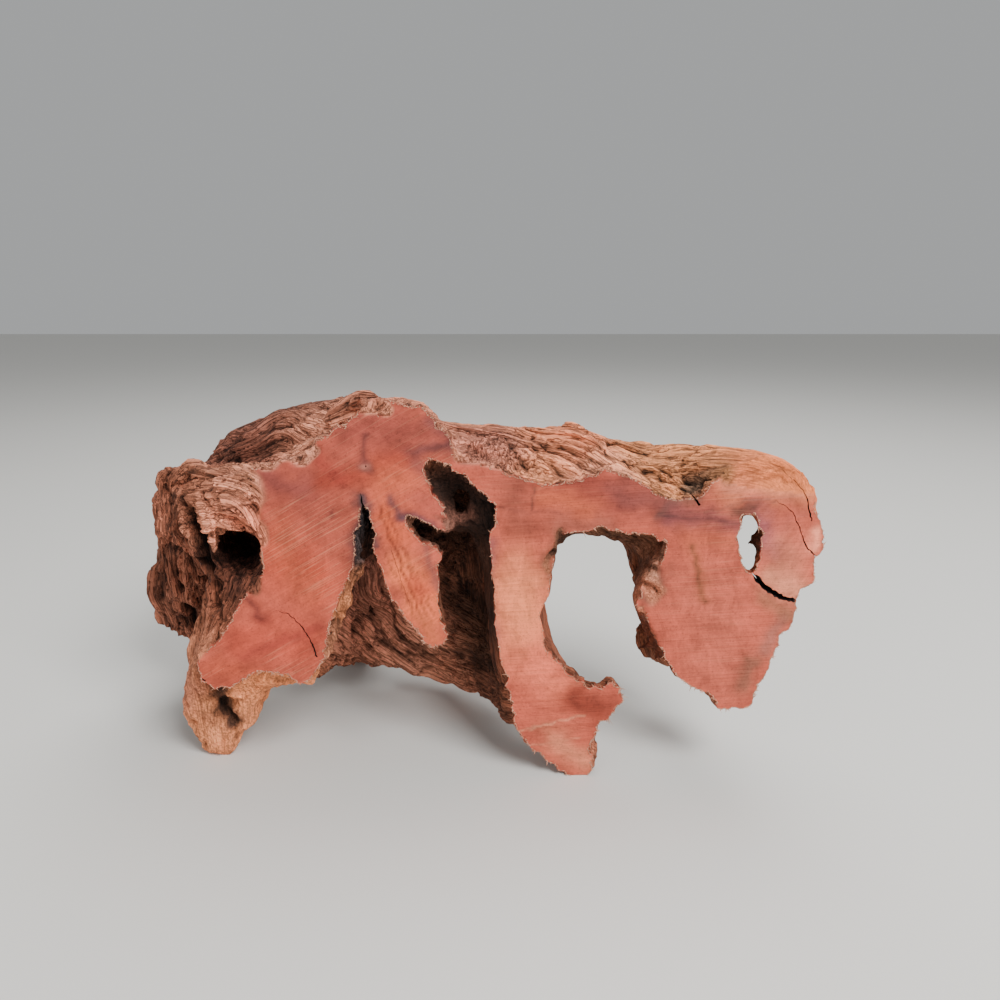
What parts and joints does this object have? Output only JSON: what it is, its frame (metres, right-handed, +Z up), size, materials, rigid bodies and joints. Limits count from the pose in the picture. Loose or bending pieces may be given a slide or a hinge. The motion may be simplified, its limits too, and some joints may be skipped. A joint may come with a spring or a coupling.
{
  "type": "aquarium driftwood",
  "caption": "Gnarled reddish root driftwood sawn flat on its front, with a cave, a finger and an open arch, standing on three low points as an aquarium ornament.",
  "frame": {"origin": "middle of the bounding box's bottom, on the ground the piece stands on", "axes": "+X along the piece's length to the right as seen from its sawn face, +Y from the sawn face to the back, +Z up"},
  "size_m": [0.2196, 0.0884, 0.1174],
  "materials": {
    "wood": "dry and matt: flat bandsawn reddish face, weathered brown fibres elsewhere"
  },
  "bodies": {
    "root": {"driftwood": "wood"}
  },
  "joints": []
}
